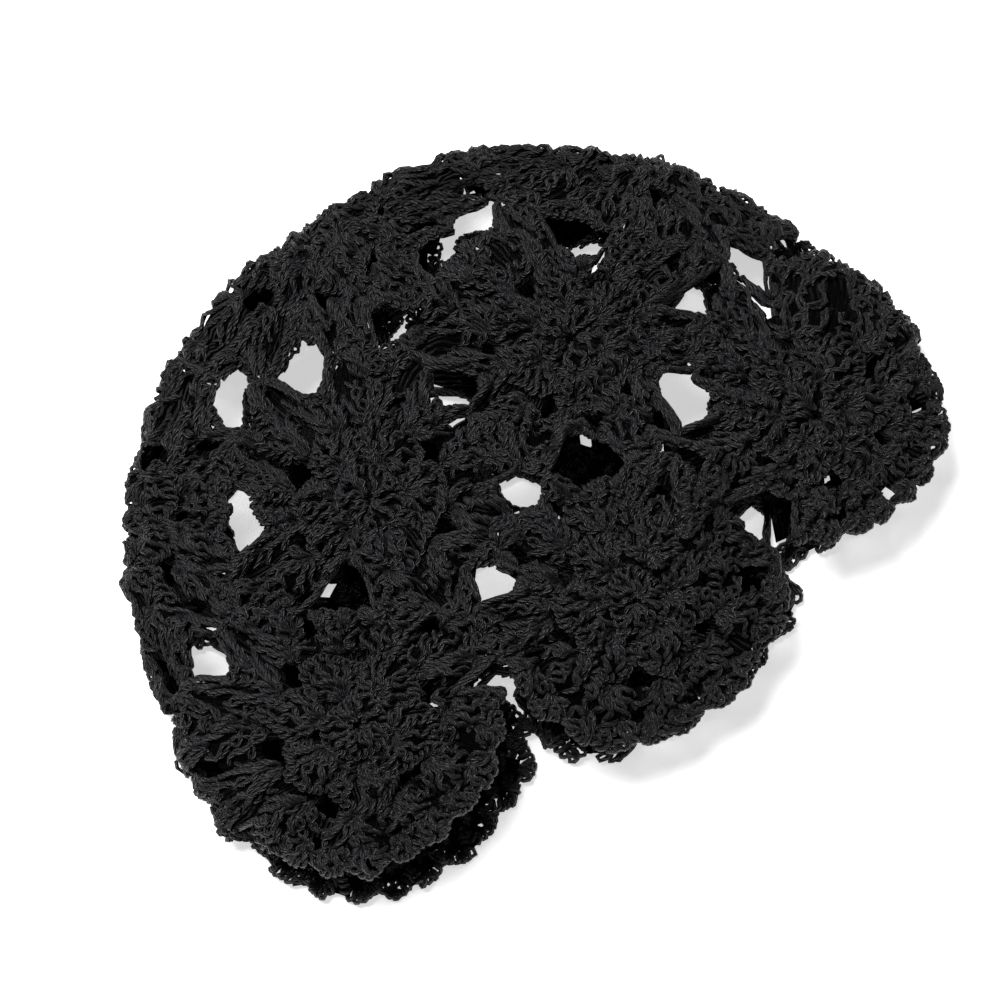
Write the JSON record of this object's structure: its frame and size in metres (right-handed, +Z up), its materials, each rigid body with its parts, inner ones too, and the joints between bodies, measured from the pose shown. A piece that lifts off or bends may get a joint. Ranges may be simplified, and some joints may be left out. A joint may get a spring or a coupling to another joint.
{
  "type": "crocheted beret",
  "caption": "Soft crocheted beret of joined round flower motifs, lying flat on its side with a scalloped open brim",
  "frame": {"origin": "middle of the beret's box seen from above, on the surface that it lies on", "axes": "+X across the width, +Y from the open brim towards the crown, +Z up from the surface"},
  "size_m": [0.2798, 0.2167, 0.0465],
  "materials": {
    "yarn": "matte black cotton yarn, twisted, slightly fuzzy"
  },
  "bodies": {
    "root": {"crown_motif": "yarn", "middle_motif_left_fold": "yarn", "middle_motif_upper_left": "yarn", "middle_motif_upper_right": "yarn", "middle_motif_right_fold": "yarn", "middle_motif_lower_right": "yarn", "middle_motif_lower_left": "yarn", "brim_motif_upper_left": "yarn", "brim_motif_upper_middle": "yarn", "brim_motif_upper_right": "yarn", "brim_motif_lower_right": "yarn", "brim_motif_lower_middle": "yarn", "brim_motif_lower_left": "yarn"}
  },
  "joints": []
}
